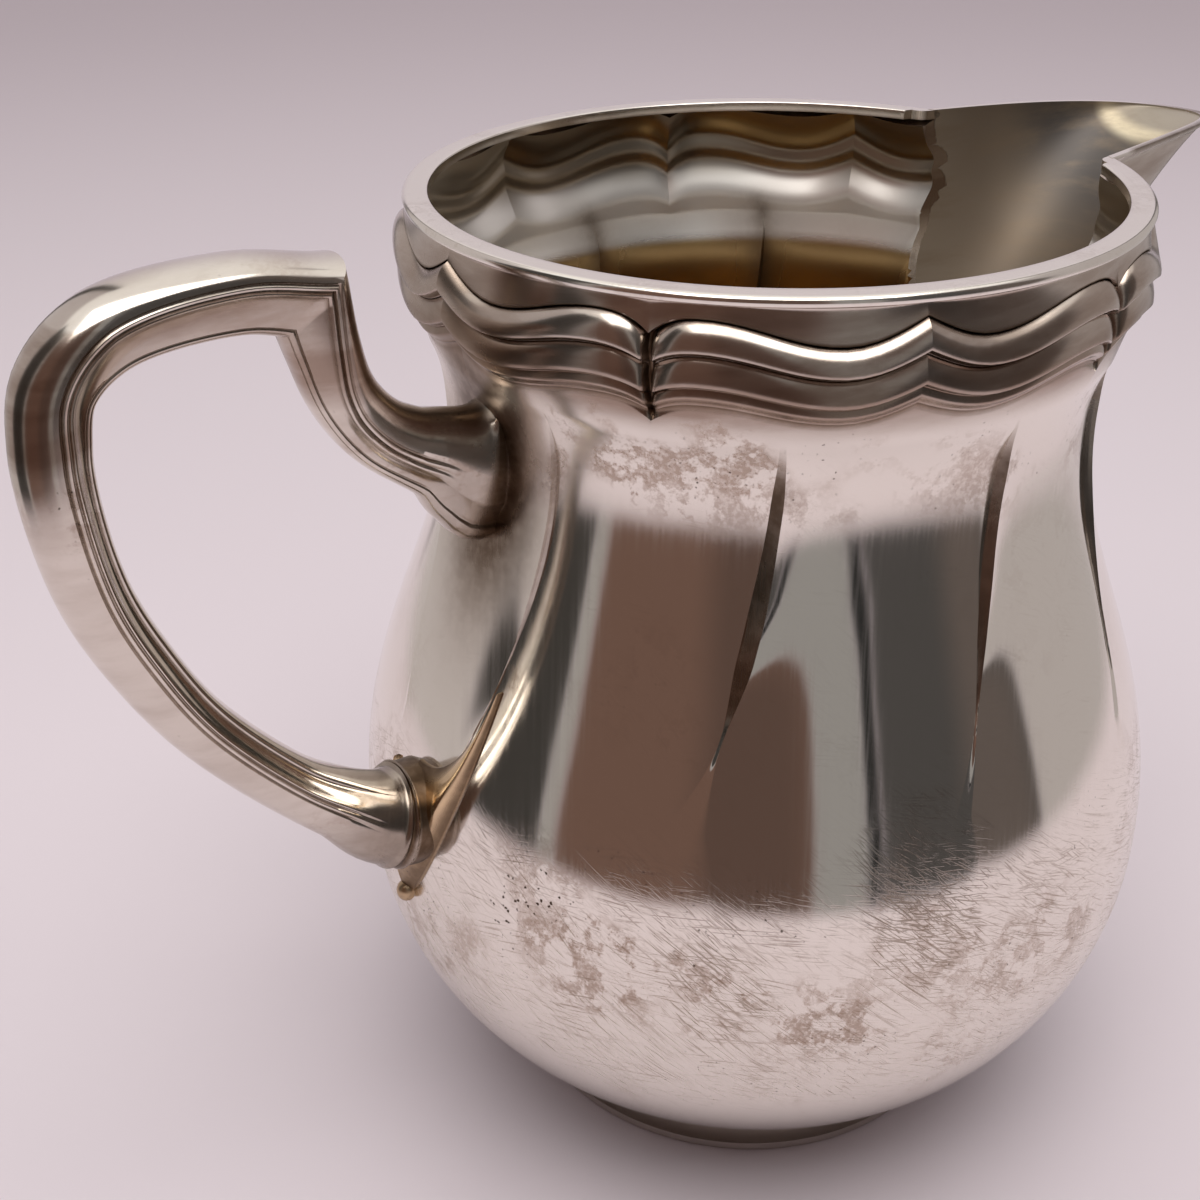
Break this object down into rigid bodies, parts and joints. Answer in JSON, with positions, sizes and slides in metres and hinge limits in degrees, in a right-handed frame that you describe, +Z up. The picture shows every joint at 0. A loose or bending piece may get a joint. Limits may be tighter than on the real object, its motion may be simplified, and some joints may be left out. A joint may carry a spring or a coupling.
{
  "type": "milk jug",
  "caption": "Bellied silver milk jug with a waved moulded rim, an open pouring spout and a reeded scroll handle, standing on a low foot ring.",
  "frame": {"origin": "middle of the overall length and width, on the plane that the foot stands on", "axes": "+Z up along the mouth's axis, which stands 6.6 mm from the origin along +X; +X towards the spout, -X towards the handle"},
  "size_m": [0.1372, 0.0878, 0.106],
  "materials": {
    "polished_silver": "worn polished silver, brown tarnish in the hollows",
    "worn_silver": "scratched and pitted silver",
    "handle_silver": "handled silver, dark lines in the reeds",
    "tarnished_silver": "golden brown tarnish"
  },
  "bodies": {
    "root": {"body_left_shell": "polished_silver", "body_right_shell": "polished_silver", "base_disc": "worn_silver", "foot_ring": "worn_silver", "rim_wire": "polished_silver", "spout": "polished_silver", "handle_left_half": "handle_silver", "handle_right_half": "handle_silver", "lower_handle_seat": "tarnished_silver"}
  },
  "joints": []
}
